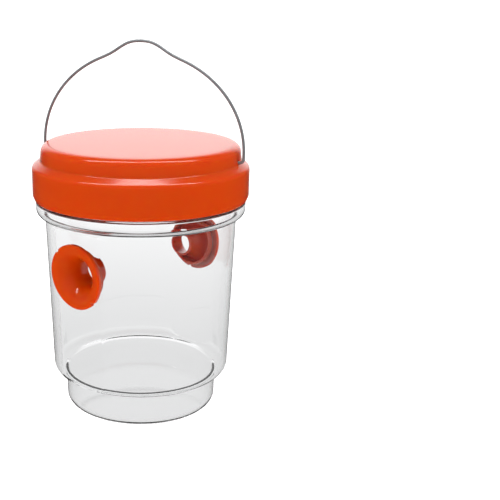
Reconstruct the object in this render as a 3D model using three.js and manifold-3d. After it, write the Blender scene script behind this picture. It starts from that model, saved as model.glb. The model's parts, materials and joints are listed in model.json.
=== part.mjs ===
// A jar-shaped wasp trap: a clear tub with a screw lid, two funnels pushed through flats in its
// wall and a wire bail to hang it by. Millimetres, +Z up. The origin is on the tub's axis at the
// ground; the funnels look along -Y and +Y.

import * as THREE from "three";
import { mergeVertices } from "three/addons/utils/BufferGeometryUtils.js";
import Module from "manifold-3d";

const wasm = await Module();
wasm.setup();

const TURN = 2 * Math.PI;

// ---- Driving sizes ----

const LID_R = 60; // outside of the lid's skirt
const TOP_Z = 151; // top of the closed lid above the ground
const TUB_WALL = 1.6;
const LID_WALL = 1.8;
const DRAFT = THREE.MathUtils.degToRad(2.1); // taper of the tub's wall
const CLEARANCE = 0.35; // between pieces that touch in the real trap

const FOOT_H = 19.3; // the narrower foot under the tub
const FOOT_STEP = 6.8; // how far the foot is set in

const FLANGE_R = 17.9; // funnel's rim
const THROAT_R = 6.2;
const FUNNEL_L = 16.8; // rim to inner end
const FUNNEL_WALL = 1.2;
const FUNNEL_TURNS = [135, 100]; // how far each funnel has been turned in its hole, degrees

const THREAD_PITCH = 6;
const THREAD_DEPTH = 1.5;
const THREAD_W = 1.7;

const WIRE_R = 0.8;
const BAIL_HEADING = 21.5; // the bail's plane, degrees round from +X

const SIDES = 48; // round pieces
const ARC_STEPS = 3; // segments in each rounded corner

// ---- Sizes that follow ----

const skirtBottom = TOP_Z - 30.2;
const skirtIn = LID_R - LID_WALL;
const ledgeZ = TOP_Z - 15; // underside of the lid's shoulder, which presses on the seal
const crownR = LID_R - 4.8; // the lid's raised middle
const crownIn = crownR - LID_WALL;
const pivotZ = TOP_Z - 8;

const sealH = 1.2;
const rimZ = ledgeZ - sealH - 2 * CLEARANCE;
const neckR = skirtIn - THREAD_DEPTH - 2 * CLEARANCE;
const neckIn = neckR - TUB_WALL;

const beadR = LID_R - 1.6; // the hollow bead that stops the lid
const beadTop = skirtBottom - CLEARANCE;
const beadRound = 5;
const bodyTop = beadTop - 9.1;
const bodyTopR = beadR - beadRound;
const bodyR = (z) => bodyTopR - (bodyTop - z) * Math.tan(DRAFT);
const footR = bodyR(FOOT_H) - FOOT_STEP;

// The tub's wall is cut flat where a funnel sits, a little narrower than the funnel's rim.
const flatTop = bodyTop - 1.8;
const funnelZ = flatTop - FLANGE_R - 6.4;
const flatHalfWidth = FLANGE_R - 1.1;
const flatY = Math.sqrt(bodyR(funnelZ) ** 2 - flatHalfWidth ** 2);

const collarR = FLANGE_R - 3.6; // the sleeve behind the funnel's rim
const holeR = collarR + CLEARANCE;
const rimThickness = 2.6;

// ---- Shape tools ----

// Turns sharp corners [radius, height, rounding] into an outline with round corners.
function rounded(corners) {
  const points = [];
  corners.forEach(([r, z, round = 0], i) => {
    const corner = new THREE.Vector2(r, z);
    if (!round) {
      points.push(corner);
      return;
    }
    const before = new THREE.Vector2(...corners[i - 1]).sub(corner).normalize();
    const after = new THREE.Vector2(...corners[i + 1]).sub(corner).normalize();
    const half = Math.acos(before.dot(after)) / 2;
    const start = before.clone().multiplyScalar(round / Math.tan(half));
    const end = after.clone().multiplyScalar(round / Math.tan(half));
    const centre = before.add(after).setLength(round / Math.sin(half));
    const from = start.sub(centre).angle();
    const sweep = THREE.MathUtils.euclideanModulo(end.sub(centre).angle() - from + Math.PI, TURN) - Math.PI;
    for (let k = 0; k <= ARC_STEPS; k += 1) {
      const angle = from + (sweep * k) / ARC_STEPS;
      const spoke = new THREE.Vector2(Math.cos(angle), Math.sin(angle)).multiplyScalar(round);
      points.push(spoke.add(centre).add(corner));
    }
  });
  return points;
}

// Turns a profile round +Z. The profile starts and ends on the axis, or closes on itself.
function lathe(points, sides = SIDES) {
  return new THREE.LatheGeometry(points, sides).rotateX(Math.PI / 2);
}

const closed = (points) => [...points, points[0].clone()];

function solid(geometry) {
  const bare = geometry.clone();
  bare.deleteAttribute("normal");
  bare.deleteAttribute("uv");
  const merged = mergeVertices(bare, 1e-4);
  const corners = [...merged.index.array];
  const triangles = [];
  for (let i = 0; i < corners.length; i += 3) {
    const [a, b, c] = corners.slice(i, i + 3);
    if (a !== b && b !== c && c !== a) triangles.push(a, b, c);
  }
  const vertProperties = new Float32Array(merged.getAttribute("position").array);
  return new wasm.Manifold(
    new wasm.Mesh({ numProp: 3, vertProperties, triVerts: new Uint32Array(triangles) })
  );
}

function geometryOf(manifold) {
  const mesh = manifold.getMesh();
  const geometry = new THREE.BufferGeometry();
  geometry.setAttribute("position", new THREE.BufferAttribute(mesh.vertProperties, 3));
  geometry.setIndex(new THREE.BufferAttribute(mesh.triVerts, 1));
  return geometry;
}

// One turn and a bit of screw thread: a trapezoid swept up a helix, fading at both ends.
function threadRidge({ rootR, crestR, startZ, turns }) {
  const steps = Math.round(turns * SIDES);
  const fadeSteps = 4;
  const positions = [];
  for (let i = 0; i <= steps; i += 1) {
    const angle = (i / SIDES) * TURN;
    const z = startZ + (i / SIDES) * THREAD_PITCH;
    const fade = Math.min(1, (i + 1) / fadeSteps, (steps - i + 1) / fadeSteps);
    const crest = rootR + (crestR - rootR) * fade;
    const section = [
      [rootR, -THREAD_W / 2],
      [crest, -THREAD_W / 4],
      [crest, THREAD_W / 4],
      [rootR, THREAD_W / 2],
    ];
    for (const [r, dz] of section) {
      positions.push(r * Math.cos(angle), r * Math.sin(angle), z + dz);
    }
  }
  const faces = [];
  for (let i = 0; i < steps; i += 1) {
    for (let k = 0; k < 4; k += 1) {
      const a = 4 * i + k;
      const b = 4 * i + ((k + 1) % 4);
      faces.push(a, a + 4, b, b, a + 4, b + 4);
    }
  }
  const last = 4 * steps;
  faces.push(0, 1, 2, 0, 2, 3, last, last + 2, last + 1, last, last + 3, last + 2);
  const outward = crestR > rootR;
  if (!outward) faces.reverse();
  const geometry = new THREE.BufferGeometry();
  geometry.setAttribute("position", new THREE.Float32BufferAttribute(positions, 3));
  geometry.setIndex(faces);
  return solid(geometry);
}

// ---- Thread ----

const lidThreadStart = skirtBottom + 1.9;
const threadOffset = THREAD_W + CLEARANCE; // the lid's ridge hooks under the tub's
const threadRoom = rimZ - 1 - THREAD_W / 2 - (lidThreadStart + threadOffset);
const threadTurns = Math.min(1.25, threadRoom / THREAD_PITCH);
const rootSink = 0.4; // how far a ridge's root is let into its wall

// ---- Tub ----

// Everything outside one of the tub's flats, up to a given height.
function beyondFlat(distance, top, side) {
  const size = 4 * LID_R;
  const box = new THREE.BoxGeometry(size, size, size);
  box.translate(0, -size / 2, 0);
  box.rotateX(DRAFT);
  box.translate(0, -distance, funnelZ);
  const cut = solid(box);
  const below = new THREE.BoxGeometry(size, size, size);
  below.translate(0, -size / 2, top - size / 2);
  const half = cut.intersect(solid(below));
  return side > 0 ? half : half.rotate([0, 0, 180]);
}

function cutFlats(shape, distance, top) {
  return shape.subtract(beyondFlat(distance, top, 1)).subtract(beyondFlat(distance, top, -1));
}

function funnelHole(side) {
  const drill = new THREE.CylinderGeometry(holeR, holeR, 6 * TUB_WALL, SIDES);
  drill.rotateX(DRAFT);
  drill.translate(0, -flatY, funnelZ);
  drill.rotateZ(side > 0 ? 0 : Math.PI);
  return solid(drill);
}

function makeTub() {
  const floor = TUB_WALL + 0.2;
  const innerStep = FOOT_H + TUB_WALL;
  const outside = lathe(
    rounded([
      [0, 0],
      [footR - 0.3, 0, 5],
      [footR, FOOT_H],
      [bodyR(FOOT_H), FOOT_H, FOOT_STEP - 0.1],
      [bodyTopR, bodyTop],
      [beadR, bodyTop, beadRound - 0.1],
      [beadR, beadTop, 0.6],
      [neckR, beadTop],
      [neckR, rimZ, 0.5],
      [0, rimZ],
    ])
  );
  const inside = lathe(
    rounded([
      [0, floor],
      [footR - TUB_WALL - 0.2, floor, 3.4],
      [footR - TUB_WALL, innerStep, 0.6],
      [bodyR(innerStep) - TUB_WALL, innerStep, FOOT_STEP - TUB_WALL],
      [bodyTopR - TUB_WALL, bodyTop + TUB_WALL, 1.2],
      [beadR - TUB_WALL, bodyTop + TUB_WALL, beadRound - TUB_WALL - 0.1],
      [beadR - TUB_WALL, beadTop - TUB_WALL, 0.6],
      [neckIn, beadTop - TUB_WALL, 0.6],
      [neckIn, rimZ + 5],
      [0, rimZ + 5],
    ])
  );
  const jar = cutFlats(solid(outside), flatY, flatTop);
  const hollow = cutFlats(solid(inside), flatY - TUB_WALL, flatTop + TUB_WALL);
  const thread = threadRidge({
    rootR: neckR - rootSink,
    crestR: neckR + THREAD_DEPTH,
    startZ: lidThreadStart + threadOffset,
    turns: threadTurns,
  });
  const shell = jar.subtract(hollow).add(thread);
  return geometryOf(shell.subtract(funnelHole(1)).subtract(funnelHole(-1)));
}

// ---- Lid and seal ----

function pivotHoles() {
  const drill = new THREE.CylinderGeometry(WIRE_R + CLEARANCE, WIRE_R + CLEARANCE, 4 * LID_R, 16);
  drill.rotateZ(Math.PI / 2);
  drill.rotateZ(THREE.MathUtils.degToRad(BAIL_HEADING));
  drill.translate(0, 0, pivotZ);
  return solid(drill);
}

function makeLid() {
  const shell = lathe(
    rounded([
      [0, TOP_Z],
      [crownR - 0.6, TOP_Z, 4.6],
      [crownR + 0.3, TOP_Z - 9, 1.6],
      [LID_R, TOP_Z - 12.4, 3],
      [LID_R, skirtBottom + 2.4, 1],
      [skirtIn + 0.9, skirtBottom],
      [skirtIn, skirtBottom],
      [skirtIn, ledgeZ],
      [crownIn, ledgeZ],
      [crownIn - 0.6, TOP_Z - LID_WALL, 3],
      [0, TOP_Z - LID_WALL],
    ]).reverse()
  );
  const thread = threadRidge({
    rootR: skirtIn + rootSink,
    crestR: skirtIn - THREAD_DEPTH,
    startZ: lidThreadStart,
    turns: threadTurns,
  });
  return geometryOf(solid(shell).add(thread).subtract(pivotHoles()));
}

function makeSeal() {
  const outer = skirtIn - 2 * CLEARANCE;
  const bottom = rimZ + CLEARANCE;
  return lathe(
    closed(
      rounded([
        [neckIn, bottom],
        [outer, bottom],
        [outer, bottom + sealH],
        [neckIn, bottom + sealH],
      ])
    )
  );
}

// ---- Bail ----

// The wire's middle line, in its own plane: a hooked end inside the lid, out through the lid's
// wall, up a short leg, and over an arch with a hump for a hanging hook.
function bailLine() {
  const legR = crownR + 3;
  const legH = 5;
  const hookR = crownIn - 2.6;
  const hookH = 3.4;
  const bend = 2;
  const archH = legR - legH - 1.2; // the arch is nearly a half circle
  const humpH = 5.2;
  const humpW = 13.8;
  const archSteps = 24;
  const arch = [];
  for (let i = 0; i <= archSteps; i += 1) {
    const angle = (i / archSteps) * Math.PI;
    const x = legR * Math.cos(angle);
    const hump = humpH * Math.exp(-((Math.abs(x) / humpW) ** 3));
    arch.push([x, legH + archH * Math.sin(angle) + hump]);
  }
  return rounded([
    [hookR, hookH],
    [hookR, 0, bend],
    [legR, 0, bend],
    ...arch,
    [-legR, 0, bend],
    [-hookR, 0, bend],
    [-hookR, hookH],
  ]);
}

function makeBail() {
  const line = bailLine().map((p) => new THREE.Vector3(p.x, 0, p.y));
  const wire = new THREE.Shape().absarc(0, 0, WIRE_R, 0, TURN);
  return new THREE.ExtrudeGeometry(wire, {
    curveSegments: 4,
    steps: 110,
    extrudePath: new THREE.CatmullRomCurve3(line, false, "centripetal"),
  });
}

// ---- Funnels ----

// A trumpet along +Z: its inner end at the bottom, its flat rim at the top, a short sleeve behind
// the rim that plugs the tub's hole, and a low bead on the sleeve that snaps behind the wall.
function makeFunnel() {
  const flareR = FLANGE_R - THROAT_R - 0.6;
  const throatL = 1.8; // straight, at the inner end
  const flareL = FUNNEL_L - throatL;
  const rimBack = FUNNEL_L - rimThickness;
  const sleeveIn = collarR - FUNNEL_WALL;
  const sleeveEnd = rimBack - TUB_WALL - 3.6;
  const beadZ = rimBack - TUB_WALL - 2 * CLEARANCE - 0.8;
  const flareSteps = 6;
  const flare = (inset, from, to) => {
    const points = [];
    for (let k = 0; k <= flareSteps; k += 1) {
      const angle = from + ((to - from) * k) / flareSteps;
      const r = THROAT_R + flareR - (flareR - inset) * Math.cos(angle);
      points.push([r, throatL + (flareL - inset) * Math.sin(angle)]);
    }
    return points;
  };
  const meetsSleeve = Math.acos((THROAT_R + flareR - sleeveIn) / (flareR - FUNNEL_WALL));
  const outline = rounded([
    [THROAT_R, 0],
    [THROAT_R + FUNNEL_WALL, 0],
    ...flare(FUNNEL_WALL, 0, meetsSleeve),
    [sleeveIn, sleeveEnd],
    [collarR, sleeveEnd],
    [collarR, beadZ - 0.9],
    [collarR + 2 * CLEARANCE, beadZ],
    [collarR, beadZ + 0.6],
    [collarR, rimBack],
    [FLANGE_R, rimBack, 0.4],
    [FLANGE_R, FUNNEL_L - 1],
    ...flare(0, Math.PI / 2, 0),
  ]);
  return geometryOf(solid(lathe(closed(outline), 36)).subtract(rimNotches()));
}

// Two V notches at opposite edges of the rim, to turn the funnel by.
function rimNotches() {
  const width = 2.4;
  const depth = 1.6;
  const notch = new THREE.Shape([
    new THREE.Vector2(FLANGE_R - depth, 0),
    new THREE.Vector2(FLANGE_R + 1, -width),
    new THREE.Vector2(FLANGE_R + 1, width),
  ]);
  const cutter = new THREE.ExtrudeGeometry(notch, { depth: 2 * rimThickness, bevelEnabled: false });
  cutter.translate(0, 0, FUNNEL_L - rimThickness - 1);
  const one = solid(cutter);
  return one.add(one.rotate([0, 0, 180]));
}

// ---- Assembly ----

const clearPlastic = { color: 0xe6e9e9, roughness: 0.08, metalness: 0, transparent: true, opacity: 0.3 };
const orangePlastic = { color: 0xd94306, roughness: 0.28, metalness: 0 };
const rubber = { color: 0xe9e6dc, roughness: 0.8, metalness: 0 };
const wireSteel = { color: 0x9a9c9e, roughness: 0.35, metalness: 1 };

function piece(name, geometry, finish) {
  geometry.computeVertexNormals();
  const mesh = new THREE.Mesh(geometry, new THREE.MeshStandardMaterial(finish));
  mesh.name = name;
  return mesh;
}

const trap = new THREE.Group();
trap.add(piece("tub", makeTub(), clearPlastic));
trap.add(piece("lid", makeLid(), orangePlastic));
trap.add(piece("lid_seal", makeSeal(), rubber));

const bail = piece("bail", makeBail(), wireSteel);
bail.position.z = pivotZ;
bail.rotation.z = THREE.MathUtils.degToRad(BAIL_HEADING);
trap.add(bail);

// A funnel stands square to its flat, its rim just clear of the wall.
["funnel_front", "funnel_back"].forEach((name, i) => {
  const funnel = piece(name, makeFunnel(), orangePlastic);
  const rimBack = FUNNEL_L - rimThickness;
  funnel.rotation.set(Math.PI / 2 + DRAFT, 0, THREE.MathUtils.degToRad(FUNNEL_TURNS[i]));
  const standOff = -flatY - CLEARANCE + rimBack * Math.cos(DRAFT);
  funnel.position.set(0, standOff, funnelZ + rimBack * Math.sin(DRAFT));
  const side = new THREE.Group();
  side.rotation.z = i * Math.PI;
  side.add(funnel);
  trap.add(side);
});

export default trap;
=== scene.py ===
"""Looks of the clear wasp trap: fine meshes on the CAD's own sizes, moulded plastic and wire."""

import json
import math

import bpy
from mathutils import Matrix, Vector


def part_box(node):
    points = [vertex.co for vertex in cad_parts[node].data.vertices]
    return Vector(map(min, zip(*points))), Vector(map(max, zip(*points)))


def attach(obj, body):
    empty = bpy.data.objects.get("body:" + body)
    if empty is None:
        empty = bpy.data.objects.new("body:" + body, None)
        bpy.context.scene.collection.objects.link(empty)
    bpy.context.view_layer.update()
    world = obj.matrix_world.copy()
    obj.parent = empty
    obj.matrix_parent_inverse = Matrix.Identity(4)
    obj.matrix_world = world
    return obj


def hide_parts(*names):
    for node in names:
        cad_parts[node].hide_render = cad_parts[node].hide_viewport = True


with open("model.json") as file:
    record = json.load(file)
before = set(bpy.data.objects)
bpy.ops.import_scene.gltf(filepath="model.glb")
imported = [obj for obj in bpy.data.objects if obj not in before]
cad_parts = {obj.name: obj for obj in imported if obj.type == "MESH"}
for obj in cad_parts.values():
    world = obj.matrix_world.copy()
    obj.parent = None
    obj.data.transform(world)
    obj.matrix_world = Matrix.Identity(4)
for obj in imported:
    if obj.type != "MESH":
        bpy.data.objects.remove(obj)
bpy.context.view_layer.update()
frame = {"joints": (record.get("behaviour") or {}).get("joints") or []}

MM = 0.001
CLEARANCE = 0.35 * MM

# ---- Sizes, read off the frame ----

lid_low, lid_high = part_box("lid")
tub_low, tub_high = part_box("tub")
seal_low, seal_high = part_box("lid_seal")
joints = {joint["name"]: joint for joint in frame["joints"]}

LID_R = lid_high.x
TOP_Z = lid_high.z
SKIRT_Z = lid_low.z
LID_WALL = 1.8 * MM
SKIRT_IN = LID_R - LID_WALL
LEDGE_Z = seal_high.z + CLEARANCE
CROWN_R = LID_R - 4.8 * MM
CROWN_IN = CROWN_R - LID_WALL
PIVOT = Vector(joints["bail_swing"]["pos_m"])
BAIL_AXIS = Vector(joints["bail_swing"]["axis"])

TUB_WALL = 1.6 * MM
RIM_Z = tub_high.z
BEAD_R = tub_high.x
BEAD_Z = SKIRT_Z - CLEARANCE
BODY_TOP = BEAD_Z - 9.1 * MM
BODY_TOP_R = BEAD_R - 5 * MM
FOOT_H = 19.3 * MM
FOOT_STEP = 6.8 * MM

FUNNEL_AXIS = Vector(joints["funnel_front_twist"]["axis"])
DRAFT_SLOPE = FUNNEL_AXIS.z / FUNNEL_AXIS.y
FUNNEL_Z = joints["funnel_front_twist"]["pos_m"][2]
FLANGE_R = 17.9 * MM
THROAT_R = 6.2 * MM
FUNNEL_L = 16.8 * MM
FUNNEL_WALL = 1.2 * MM
RIM_THICKNESS = 2.6 * MM
COLLAR_R = FLANGE_R - 3.6 * MM
HOLE_R = COLLAR_R + CLEARANCE
FUNNEL_TURNS = {"funnel_front": 135, "funnel_back": 100}
FLAT_TOP = BODY_TOP - 1.8 * MM

THREAD_PITCH = 6 * MM
THREAD_DEPTH = 1.5 * MM
THREAD_W = 1.7 * MM
THREAD_TURNS = 1.25
NECK_R = SKIRT_IN - THREAD_DEPTH - 2 * CLEARANCE
NECK_IN = NECK_R - TUB_WALL
LID_THREAD_Z = SKIRT_Z + 1.9 * MM
NECK_THREAD_Z = LID_THREAD_Z + THREAD_W + CLEARANCE

WIRE_R = 0.8 * MM


def body_r(z):
    """Outside radius of the tub's tapered wall at a height."""
    return BODY_TOP_R - (BODY_TOP - z) * DRAFT_SLOPE


FOOT_R = body_r(FOOT_H) - FOOT_STEP
FLAT_Y = math.sqrt(body_r(FUNNEL_Z) ** 2 - (FLANGE_R - 1.1 * MM) ** 2)


def flat_distance(z):
    """How far a flat of the tub's wall is from the tub's axis at a height."""
    return FLAT_Y - (FUNNEL_Z - z) * DRAFT_SLOPE


# ---- Shape tools ----

POLE_R = 1e-9  # a smaller ring is one point on the axis


def rounded(corners, steps=7):
    """Sharp corners (radius, height, rounding) as a list of points with round corners."""
    points = []
    for i, (r, z, *extra) in enumerate(corners):
        corner = Vector((r, z))
        if not extra:
            points.append(corner)
            continue
        radius = extra[0]
        before = (Vector(corners[i - 1][:2]) - corner).normalized()
        after = (Vector(corners[i + 1][:2]) - corner).normalized()
        half = before.angle(after) / 2
        start = before * (radius / math.tan(half))
        end = after * (radius / math.tan(half))
        centre = (before + after).normalized() * (radius / math.sin(half))
        sweep = (end - centre).angle_signed(start - centre)
        for k in range(steps + 1):
            angle = sweep * k / steps
            spoke = start - centre
            turned = Vector((
                spoke.x * math.cos(angle) - spoke.y * math.sin(angle),
                spoke.x * math.sin(angle) + spoke.y * math.cos(angle),
            ))
            points.append(corner + centre + turned)
    return points


def densify(points, longest, fine=None, fine_above=math.inf):
    """The same outline, cut into stretches no longer than a length, or a finer one above a height."""
    out = [points[0]]
    for a, b in zip(points, points[1:]):
        step = fine if min(a.y, b.y) >= fine_above else longest
        pieces = max(1, math.ceil((b - a).length / step))
        out += [a.lerp(b, k / pieces) for k in range(1, pieces + 1)]
    return out


def skin(name, rings, closed=False):
    """A mesh through rings of points, where a ring of one point is a pole.

    Closed joins the last ring to the first.
    """
    verts = []
    starts = []
    for ring in rings:
        starts.append((len(verts), len(ring)))
        verts += ring
    faces = []
    pairs = list(zip(starts, starts[1:]))
    if closed:
        pairs.append((starts[-1], starts[0]))
    for (a, count_a), (b, count_b) in pairs:
        for k in range(max(count_a, count_b)):
            nxt = k + 1
            face = [
                a + k % count_a,
                a + nxt % count_a,
                b + nxt % count_b,
                b + k % count_b,
            ]
            faces.append(list(dict.fromkeys(face)))
    mesh = bpy.data.meshes.new(name)
    mesh.from_pydata(verts, [], faces)
    mesh.validate()
    obj = bpy.data.objects.new(name, mesh)
    bpy.context.collection.objects.link(obj)
    return obj


def smooth(obj, sharp_degrees=35):
    """Smooth shading, split at the sharp edges."""
    mesh = obj.data
    mesh.shade_smooth()
    mesh.set_sharp_from_angle(angle=math.radians(sharp_degrees))


def subtract(obj, drill):
    """Cuts the drill's shape out of an object."""
    cut = obj.modifiers.new("hole", "BOOLEAN")
    cut.operation = "DIFFERENCE"
    cut.solver = "EXACT"
    cut.object = drill
    graph = bpy.context.evaluated_depsgraph_get()
    mesh = bpy.data.meshes.new_from_object(obj.evaluated_get(graph))
    obj.modifiers.clear()
    obj.data = mesh
    bpy.data.objects.remove(drill)


def circle(r, z, segments):
    """A level ring of points, or one point when its radius is nothing."""
    if r < POLE_R:
        return [Vector((0, 0, z))]
    angles = [2 * math.pi * k / segments for k in range(segments)]
    return [Vector((r * math.cos(a), r * math.sin(a), z)) for a in angles]


def ridge(angle, z, start):
    """Height of the screw thread above its wall, at an angle and a height."""
    lap = (angle / (2 * math.pi)) % 1
    height = 0
    while lap <= THREAD_TURNS:
        off = abs(z - start - THREAD_PITCH * lap)
        flank = min(1, max(0, (THREAD_W / 2 - off) / (THREAD_W / 4)))
        fade = min(1, (lap + 0.01) / 0.08, (THREAD_TURNS - lap + 0.01) / 0.08)
        height = max(height, flank * flank * (3 - 2 * flank) * fade * THREAD_DEPTH)
        lap += 1
    return height


# ---- Tub ----

FLAT_SEGMENTS = 40
SIDE_SEGMENTS = 80
FLAT_EDGE_BLEND = 0.25 * MM


def soft_min(a, b, blend):
    """The smaller of two lengths, rounded off where they are nearly equal."""
    near = max(blend - abs(a - b), 0) / blend
    return min(a, b) - near * near * blend / 4


def flat_limit(z, inset):
    """Distance of the flat from the axis with its ledge on top, or None above the ledge."""
    top = FLAT_TOP + inset
    fillet = 0.9 * MM
    ledge_rise = 0.35 * MM
    base = flat_distance(z) - inset
    if z <= top - fillet:
        return base
    if z <= top:
        return base + fillet - math.sqrt(max(0, fillet ** 2 - (z - top + fillet) ** 2))
    if z <= top + ledge_rise:
        return base + fillet + (z - top) / ledge_rise * 3 * MM
    return None


def tub_angles(z):
    """Angles round the tub, from -Y, with a line of points along each edge of each flat."""
    edge = math.acos(flat_distance(z) / body_r(z))
    angles = []
    for side in (0, math.pi):
        angles += [side - edge + 2 * edge * k / FLAT_SEGMENTS for k in range(FLAT_SEGMENTS)]
        arc = math.pi - 2 * edge
        angles += [side + edge + arc * k / SIDE_SEGMENTS for k in range(SIDE_SEGMENTS)]
    return angles


def tub_ring(r, z, inset, threaded):
    """A level ring of the tub's wall, moved in to the flats and out by the thread."""
    if r < POLE_R:
        return [Vector((0, 0, z))]
    limit = flat_limit(z, inset)
    ring = []
    for angle in tub_angles(min(z, FLAT_TOP)):
        radius = r
        across = abs(math.cos(angle))
        if limit is not None and across > 0.5:
            radius = soft_min(r, limit / across, FLAT_EDGE_BLEND)
        heading = angle - math.pi / 2
        if threaded and z > BEAD_Z + 0.1 * MM:
            radius += ridge(heading, z, NECK_THREAD_Z)
        ring.append(Vector((radius * math.cos(heading), radius * math.sin(heading), z)))
    return ring


def ledge_heights(points, inset):
    """Adds heights through the ledge at the top of the flats to a stretch of wall."""
    top = FLAT_TOP + inset
    out = []
    for a, b in zip(points, points[1:]):
        out.append(a)
        if min(a.y, b.y) < top < max(a.y, b.y):
            extra = [top - 1.2 * MM + step * 0.11 * MM for step in range(16)]
            if b.y < a.y:
                extra.reverse()
            out += [a.lerp(b, (z - a.y) / (b.y - a.y)) for z in extra]
    out.append(points[-1])
    return out


def make_tub():
    floor = TUB_WALL + 0.2 * MM
    inner_step = FOOT_H + TUB_WALL
    outside = rounded([
        (0, 0),
        (FOOT_R - 0.3 * MM, 0, 5 * MM),
        (FOOT_R, FOOT_H, 1 * MM),
        (body_r(FOOT_H), FOOT_H, FOOT_STEP - 1.1 * MM),
        (BODY_TOP_R, BODY_TOP, 0.5 * MM),
        (BEAD_R, BODY_TOP, 4.3 * MM),
        (BEAD_R, BEAD_Z, 0.6 * MM),
        (NECK_R, BEAD_Z, 0.3 * MM),
        (NECK_R, RIM_Z, 0.5 * MM),
        ((NECK_R + NECK_IN) / 2, RIM_Z),
    ])
    inside = rounded([
        (NECK_IN + 0.6 * MM, RIM_Z),
        (NECK_IN, RIM_Z, 0.5 * MM),
        (NECK_IN, BEAD_Z - TUB_WALL, 0.6 * MM),
        (BEAD_R - TUB_WALL, BEAD_Z - TUB_WALL, 0.6 * MM),
        (BEAD_R - TUB_WALL, BODY_TOP + TUB_WALL, 2.9 * MM),
        (BODY_TOP_R - TUB_WALL, BODY_TOP + TUB_WALL, 1.2 * MM),
        (body_r(inner_step) - TUB_WALL, inner_step, FOOT_STEP - TUB_WALL - 1.7 * MM),
        (FOOT_R - TUB_WALL, inner_step, 1.6 * MM),
        (FOOT_R - TUB_WALL - 0.2 * MM, floor, 3.4 * MM),
        (0, floor),
    ])
    outside = densify(ledge_heights(outside, 0), 4 * MM, 0.3 * MM, BEAD_Z + 0.2 * MM)
    inside = densify(ledge_heights(inside, TUB_WALL), 4 * MM)
    rings = [tub_ring(p.x, p.y, 0, True) for p in outside]
    rings += [tub_ring(p.x, p.y, TUB_WALL, False) for p in inside]
    tub = skin("clear_tub", rings)
    for side in (1, -1):
        drill_hole(tub, side)
    smooth(tub, 28)
    return tub


def drill_hole(tub, side):
    """Cuts the round hole that a funnel's sleeve passes through."""
    axis = Vector((0, FUNNEL_AXIS.y * side, FUNNEL_AXIS.z))
    centre = Vector((0, -FLAT_Y * side, FUNNEL_Z))
    turn = axis.to_track_quat("Z", "Y").to_matrix()
    reach = 4 * MM
    rings = []
    for r, depth in ((0, -reach), (HOLE_R, -reach), (HOLE_R, reach), (0, reach)):
        rings.append([turn @ p + centre for p in circle(r, depth, 96)])
    drill = skin("drill", rings)
    subtract(tub, drill)


# ---- Lid and seal ----

def make_lid():
    segments = 240
    outside = rounded([
        (0, TOP_Z),
        (CROWN_R - 0.6 * MM, TOP_Z, 4.6 * MM),
        (CROWN_R + 0.3 * MM, TOP_Z - 9 * MM, 1.6 * MM),
        (LID_R, TOP_Z - 12.4 * MM, 3 * MM),
        (LID_R, SKIRT_Z + 2.4 * MM, 1 * MM),
        (SKIRT_IN + 0.9 * MM, SKIRT_Z, 0.3 * MM),
        (SKIRT_IN, SKIRT_Z, 0.2 * MM),
        (SKIRT_IN, SKIRT_Z + 0.4 * MM),
    ])
    wall_ends = [Vector((SKIRT_IN, SKIRT_Z + 0.7 * MM)), Vector((SKIRT_IN, LEDGE_Z - 1 * MM))]
    thread_wall = densify(wall_ends, 0.3 * MM)
    inside = rounded([
        (SKIRT_IN, LEDGE_Z - 0.9 * MM),
        (SKIRT_IN, LEDGE_Z, 0.4 * MM),
        (CROWN_IN, LEDGE_Z, 0.3 * MM),
        (CROWN_IN - 0.6 * MM, TOP_Z - LID_WALL, 3 * MM),
        (0, TOP_Z - LID_WALL),
    ])
    rings = [circle(p.x, p.y, segments) for p in densify(outside, 5 * MM)]
    for p in thread_wall:
        ring = []
        for k in range(segments):
            angle = 2 * math.pi * k / segments
            r = p.x - ridge(angle, p.y, LID_THREAD_Z)
            ring.append(Vector((r * math.cos(angle), r * math.sin(angle), p.y)))
        rings.append(ring)
    rings += [circle(p.x, p.y, segments) for p in densify(inside, 5 * MM)]
    rings.reverse()
    lid = skin("orange_lid", rings)
    for side in (1, -1):
        pierce_lid(lid, side)
    smooth(lid, 30)
    return lid


def pierce_lid(lid, side):
    """Cuts the hole in the lid's raised middle that one end of the bail turns in."""
    turn = (BAIL_AXIS * side).to_track_quat("Z", "Y").to_matrix()
    hole_r = WIRE_R + CLEARANCE
    start = CROWN_IN - 3 * MM
    rings = []
    for r, depth in ((0, start), (hole_r, start), (hole_r, LID_R), (0, LID_R)):
        rings.append([turn @ p + PIVOT for p in circle(r, depth, 32)])
    drill = skin("drill", rings)
    subtract(lid, drill)


def make_seal():
    outer = seal_high.x
    middle = (NECK_IN + outer) / 2
    outline = rounded([
        (middle, seal_low.z),
        (outer, seal_low.z, 0.3 * MM),
        (outer, seal_high.z, 0.3 * MM),
        (NECK_IN, seal_high.z, 0.3 * MM),
        (NECK_IN, seal_low.z, 0.3 * MM),
        (middle - 0.1 * MM, seal_low.z),
    ])
    seal = skin("seal_ring", [circle(p.x, p.y, 192) for p in outline], closed=True)
    smooth(seal)
    return seal


# ---- Bail ----

def bail_line():
    """The wire's middle line in its own plane, as (along the pivots, height above them)."""
    leg_r = CROWN_R + 3 * MM
    leg_h = 5 * MM
    hook_r = CROWN_IN - 2.6 * MM
    hook_h = 3.4 * MM
    bend = 2 * MM
    arch_h = leg_r - leg_h - 1.2 * MM
    hump_h = 5.2 * MM
    hump_w = 13.8 * MM
    steps = 120
    half = []
    for i in range(steps // 2 + 1):
        angle = i / steps * math.pi
        x = leg_r * math.cos(angle)
        hump = hump_h * math.exp(-((abs(x) / hump_w) ** 3))
        half.append((x, leg_h + arch_h * math.sin(angle) + hump))
    right = rounded([(hook_r, hook_h), (hook_r, 0, bend), (leg_r, 0, bend), *half])
    left = [Vector((-p.x, p.y)) for p in reversed(right[:-1])]
    return right + left


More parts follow.
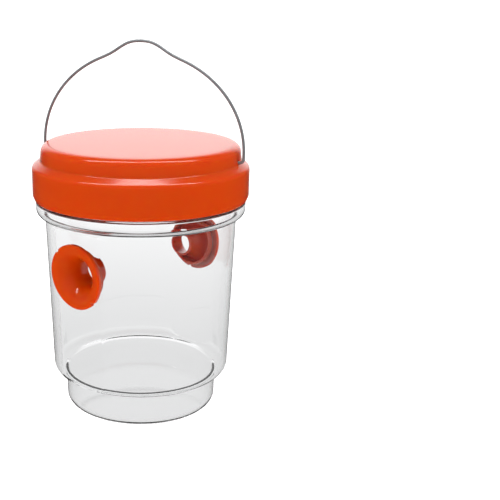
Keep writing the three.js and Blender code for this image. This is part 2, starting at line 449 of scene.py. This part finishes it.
def make_bail():
    line = [BAIL_AXIS * p.x + Vector((0, 0, p.y)) + PIVOT for p in bail_line()]
    across = BAIL_AXIS.cross(Vector((0, 0, 1)))
    sides = 20
    rings = [[line[0]]]
    for i, p in enumerate(line):
        along = (line[min(i + 1, len(line) - 1)] - line[max(i - 1, 0)]).normalized()
        out = across.cross(along)
        ring = []
        for k in range(sides):
            angle = 2 * math.pi * k / sides
            ring.append(p + (out * math.cos(angle) + across * math.sin(angle)) * WIRE_R)
        rings.append(ring)
    rings.append([line[-1]])
    bail = skin("bail_wire", rings)
    smooth(bail, 50)
    return bail


# ---- Funnels ----

def funnel_outline():
    flare_r = FLANGE_R - THROAT_R - 0.6 * MM
    throat_l = 1.8 * MM
    flare_l = FUNNEL_L - throat_l
    rim_back = FUNNEL_L - RIM_THICKNESS
    sleeve_in = COLLAR_R - FUNNEL_WALL
    sleeve_end = rim_back - TUB_WALL - 3.6 * MM
    bead_z = rim_back - TUB_WALL - 2 * CLEARANCE - 0.8 * MM
    meets_sleeve = math.acos((THROAT_R + flare_r - sleeve_in) / (flare_r - FUNNEL_WALL))

    def flare(inset, start, end, steps=24):
        points = []
        for k in range(steps + 1):
            angle = start + (end - start) * k / steps
            r = THROAT_R + flare_r - (flare_r - inset) * math.cos(angle)
            points.append((r, throat_l + (flare_l - inset) * math.sin(angle)))
        return points

    back = flare(FUNNEL_WALL, 0, meets_sleeve)
    front = flare(0, math.pi / 2, 0)
    return rounded([
        (THROAT_R, FUNNEL_WALL / 2),
        (THROAT_R, 0, 0.3 * MM),
        (THROAT_R + FUNNEL_WALL, 0, 0.3 * MM),
        *back,
        (sleeve_in, sleeve_end, 0.2 * MM),
        (COLLAR_R, sleeve_end, 0.2 * MM),
        (COLLAR_R, bead_z - 0.9 * MM),
        (COLLAR_R + 2 * CLEARANCE, bead_z, 0.15 * MM),
        (COLLAR_R, bead_z + 0.6 * MM),
        (COLLAR_R, rim_back, 0.1 * MM),
        (FLANGE_R, rim_back, 0.5 * MM),
        (FLANGE_R, FUNNEL_L - 0.35 * MM, 0.3 * MM),
        *front,
    ], 5)


def notched(point, angle):
    """The outline's point moved in, where one of the two V notches cuts the rim."""
    depth = 1.6 * MM
    half_width = 1.5 * MM
    off = min(abs(angle), abs(angle - math.pi), abs(angle - 2 * math.pi)) * FLANGE_R
    limit = FLANGE_R - depth * max(0, 1 - off / half_width)
    return min(point.x, limit)


def make_funnel(node):
    side = 1 if node == "funnel_front" else -1
    axis = Vector((0, FUNNEL_AXIS.y * side, FUNNEL_AXIS.z))
    up = Vector((0, 0, 1))
    right = axis.cross(up).normalized() * -1
    top = axis.cross(right)
    rim_back = FUNNEL_L - RIM_THICKNESS
    origin = Vector((0, -(FLAT_Y + CLEARANCE) * side, FUNNEL_Z)) - axis * rim_back
    twist = math.radians(FUNNEL_TURNS[node])
    segments = 288
    rings = []
    for p in funnel_outline():
        ring = []
        for k in range(segments):
            angle = 2 * math.pi * k / segments
            r = notched(p, angle)
            spoke = right * math.cos(angle + twist) + top * math.sin(angle + twist)
            ring.append(origin + axis * p.y + spoke * r)
        rings.append(ring)
    funnel = skin("orange_" + node, rings, closed=True)
    smooth(funnel, 40)
    return funnel


# ---- Materials ----

def material(name):
    mat = bpy.data.materials.new(name)
    mat.use_nodes = True
    return mat, mat.node_tree.nodes, mat.node_tree.links, mat.node_tree.nodes["Principled BSDF"]


def noise(nodes, links, scale, detail):
    """A noise texture in the object's own space, in cycles a metre."""
    own_space = nodes.new("ShaderNodeTexCoord").outputs["Object"]
    texture = nodes.new("ShaderNodeTexNoise")
    texture.inputs["Scale"].default_value = scale
    texture.inputs["Detail"].default_value = detail
    links.new(own_space, texture.inputs["Vector"])
    return texture.outputs["Fac"]


def between(nodes, links, value, low, high):
    """Spreads a noise between two numbers."""
    node = nodes.new("ShaderNodeMapRange")
    node.inputs["From Min"].default_value = 0.3
    node.inputs["From Max"].default_value = 0.7
    node.inputs["To Min"].default_value = low
    node.inputs["To Max"].default_value = high
    links.new(value, node.inputs["Value"])
    return node.outputs["Result"]


def tint(nodes, links, shader, value, low, high):
    """Spreads a noise between two colours, as the shader's base colour."""
    node = nodes.new("ShaderNodeMix")
    node.data_type = "RGBA"
    node.inputs["A"].default_value = (*low, 1)
    node.inputs["B"].default_value = (*high, 1)
    links.new(value, node.inputs["Factor"])
    links.new(node.outputs["Result"], shader.inputs["Base Color"])


def bump(nodes, links, shader, height, strength, distance):
    node = nodes.new("ShaderNodeBump")
    node.inputs["Strength"].default_value = strength
    node.inputs["Distance"].default_value = distance
    links.new(height, node.inputs["Height"])
    links.new(node.outputs["Normal"], shader.inputs["Normal"])


def orange_plastic():
    mat, nodes, links, shader = material("orange_plastic")
    cloud = noise(nodes, links, 25, 2)
    tint(nodes, links, shader, cloud, (0.41, 0.035, 0.0005), (0.45, 0.039, 0.0008))
    wear = between(nodes, links, noise(nodes, links, 160, 4), 0.1, 0.16)
    links.new(wear, shader.inputs["Roughness"])
    shader.inputs["IOR"].default_value = 1.49
    shader.inputs["Subsurface Weight"].default_value = 0.8
    shader.inputs["Subsurface Radius"].default_value = (1, 0.2, 0.05)
    shader.inputs["Subsurface Scale"].default_value = 0.004
    bump(nodes, links, shader, noise(nodes, links, 60, 1), 0.05, 0.0002)
    return mat


def clear_plastic():
    mat, nodes, links, shader = material("clear_plastic")
    cloud = noise(nodes, links, 20, 2)
    tint(nodes, links, shader, cloud, (0.965, 0.968, 0.97), (0.985, 0.987, 0.99))
    shader.inputs["Transmission Weight"].default_value = 1
    shader.inputs["IOR"].default_value = 1.3
    wear = between(nodes, links, noise(nodes, links, 60, 3), 0.02, 0.04)
    links.new(wear, shader.inputs["Roughness"])
    bump(nodes, links, shader, noise(nodes, links, 30, 1), 0.03, 0.0003)
    return mat


def steel_wire():
    mat, nodes, links, shader = material("steel_wire")
    shader.inputs["Metallic"].default_value = 0.6
    zinc = noise(nodes, links, 300, 3)
    tint(nodes, links, shader, zinc, (0.2, 0.21, 0.22), (0.3, 0.31, 0.32))
    wear = between(nodes, links, noise(nodes, links, 700, 3), 0.3, 0.45)
    links.new(wear, shader.inputs["Roughness"])
    bump(nodes, links, shader, noise(nodes, links, 1500, 3), 0.15, 0.0001)
    return mat


def seal_rubber():
    mat, nodes, links, shader = material("seal_rubber")
    cloud = noise(nodes, links, 200, 3)
    tint(nodes, links, shader, cloud, (0.74, 0.72, 0.66), (0.84, 0.82, 0.77))
    shader.inputs["Roughness"].default_value = 0.7
    bump(nodes, links, shader, noise(nodes, links, 2500, 2), 0.2, 0.0001)
    return mat


# ---- Assembly ----

def place(piece, node, body, mat):
    piece.data.materials.clear()
    piece.data.materials.append(mat)
    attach(piece, body)
    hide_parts(node)


def build():
    orange = orange_plastic()
    tub = make_tub()
    tub.visible_shadow = False  # the clear wall throws no shadow on the funnels or the floor
    place(tub, "tub", "tub", clear_plastic())
    place(make_lid(), "lid", "lid", orange)
    place(make_seal(), "lid_seal", "seal", seal_rubber())
    place(make_bail(), "bail", "bail", steel_wire())
    for node in FUNNEL_TURNS:
        place(make_funnel(node), node, node, orange)


# ---- Studio ----

CAMERA_TURN = math.radians(42)


def beside_camera(right, away, up):
    """A place given in the camera's own plan: to its right, away from it past the object, and up."""
    return (
        right * math.cos(CAMERA_TURN) - away * math.sin(CAMERA_TURN),
        right * math.sin(CAMERA_TURN) + away * math.cos(CAMERA_TURN),
        up,
    )


def make_floor():
    """A plain white floor with a faint glow of its own.

    Reflections and rays through the clear wall don't see it.
    """
    mesh = bpy.data.meshes.new("floor")
    half = 3
    corners = [(-half, -half, 0), (half, -half, 0), (half, half, 0), (-half, half, 0)]
    mesh.from_pydata(corners, [], [(0, 1, 2, 3)])
    floor = bpy.data.objects.new("floor", mesh)
    bpy.context.collection.objects.link(floor)
    mat, nodes, links, shader = material("floor_white")
    shader.inputs["Base Color"].default_value = (0.95, 0.95, 0.95, 1)
    shader.inputs["Roughness"].default_value = 0.9
    shader.inputs["Emission Color"].default_value = (1, 1, 1, 1)
    shader.inputs["Emission Strength"].default_value = 0.3
    mesh.materials.append(mat)
    floor.location.z = -0.0002
    floor.visible_glossy = False
    floor.visible_transmission = False


def gradient(nodes, links, sky, along, start, end, low, high):
    """A strength that goes from low to high across the sky, along a direction."""
    dot = nodes.new("ShaderNodeVectorMath")
    dot.operation = "DOT_PRODUCT"
    dot.inputs[1].default_value = along
    links.new(sky, dot.inputs[0])
    spread = nodes.new("ShaderNodeMapRange")
    spread.interpolation_type = "SMOOTHSTEP"
    spread.inputs["From Min"].default_value = start
    spread.inputs["From Max"].default_value = end
    spread.inputs["To Min"].default_value = low
    spread.inputs["To Max"].default_value = high
    links.new(dot.outputs["Value"], spread.inputs["Value"])
    return spread.outputs["Result"]


def add(nodes, links, first, second):
    node = nodes.new("ShaderNodeMath")
    node.operation = "ADD"
    links.new(first, node.inputs[0])
    links.new(second, node.inputs[1])
    return node.outputs["Value"]


def pick(nodes, links, choose, otherwise, chosen):
    """One strength or the other, by whether a ray is of the kind to choose."""
    node = nodes.new("ShaderNodeMix")
    node.data_type = "FLOAT"
    links.new(choose, node.inputs["Factor"])
    links.new(otherwise, node.inputs["A"])
    links.new(chosen, node.inputs["B"])
    return node.outputs["Result"]


def make_world():
    """A white room, with a strength of its own for each kind of ray.

    The camera sees plain white, and diffuse light is brighter from the front. Rays through the
    clear wall see a slightly greyer sky. The gloss sees a bright panel low behind the trap, in dim
    surroundings.
    """
    world = bpy.data.worlds.new("studio")
    bpy.context.scene.world = world
    world.use_nodes = True
    nodes, links = world.node_tree.nodes, world.node_tree.links
    path = nodes.new("ShaderNodeLightPath")
    sky = nodes.new("ShaderNodeTexCoord").outputs["Generated"]
    up = (0, 0, 1)
    behind = beside_camera(0, 0.95, 0.3)
    in_front = beside_camera(0, -1, 0.2)

    white = nodes.new("ShaderNodeValue").outputs["Value"]
    white.default_value = 1.25
    soft = gradient(nodes, links, sky, in_front, -1, 1, 0.75, 1.65)
    through = gradient(nodes, links, sky, up, -0.42, -0.15, 0.78, 1.1)
    panel = gradient(nodes, links, sky, behind, 0.75, 0.97, 0, 1.3)
    dim = gradient(nodes, links, sky, up, -0.15, 0.2, 0.05, 0.12)

    strength = pick(nodes, links, path.outputs["Is Diffuse Ray"], white, soft)
    gloss = add(nodes, links, panel, dim)
    strength = pick(nodes, links, path.outputs["Is Glossy Ray"], strength, gloss)
    strength = pick(nodes, links, path.outputs["Is Transmission Ray"], strength, through)
    links.new(strength, nodes["Background"].inputs["Strength"])
    nodes["Background"].inputs["Color"].default_value = (1, 1, 1, 1)


def make_light():
    """A long soft strip overhead, across the camera's view, for the streaks along the lid's edges."""
    data = bpy.data.lights.new("overhead", "AREA")
    data.shape = "RECTANGLE"
    data.size = 1.6
    data.size_y = 0.15
    data.energy = 7
    lamp = bpy.data.objects.new("overhead", data)
    lamp.location = beside_camera(0, -0.1, 1)
    lamp.rotation_euler.z = CAMERA_TURN
    bpy.context.collection.objects.link(lamp)


def make_camera():
    data = bpy.data.cameras.new("camera")
    data.lens = 66.8
    data.shift_x = 0.2186
    data.clip_start = 0.01
    camera = bpy.data.objects.new("camera", data)
    camera.location = beside_camera(0, -0.5058, 0.2366)
    camera.rotation_euler = (math.radians(90 - 16.26), 0, CAMERA_TURN)
    bpy.context.collection.objects.link(camera)
    bpy.context.scene.camera = camera


build()
make_floor()
make_world()
make_light()
make_camera()
bpy.context.scene.view_settings.view_transform = "Standard"
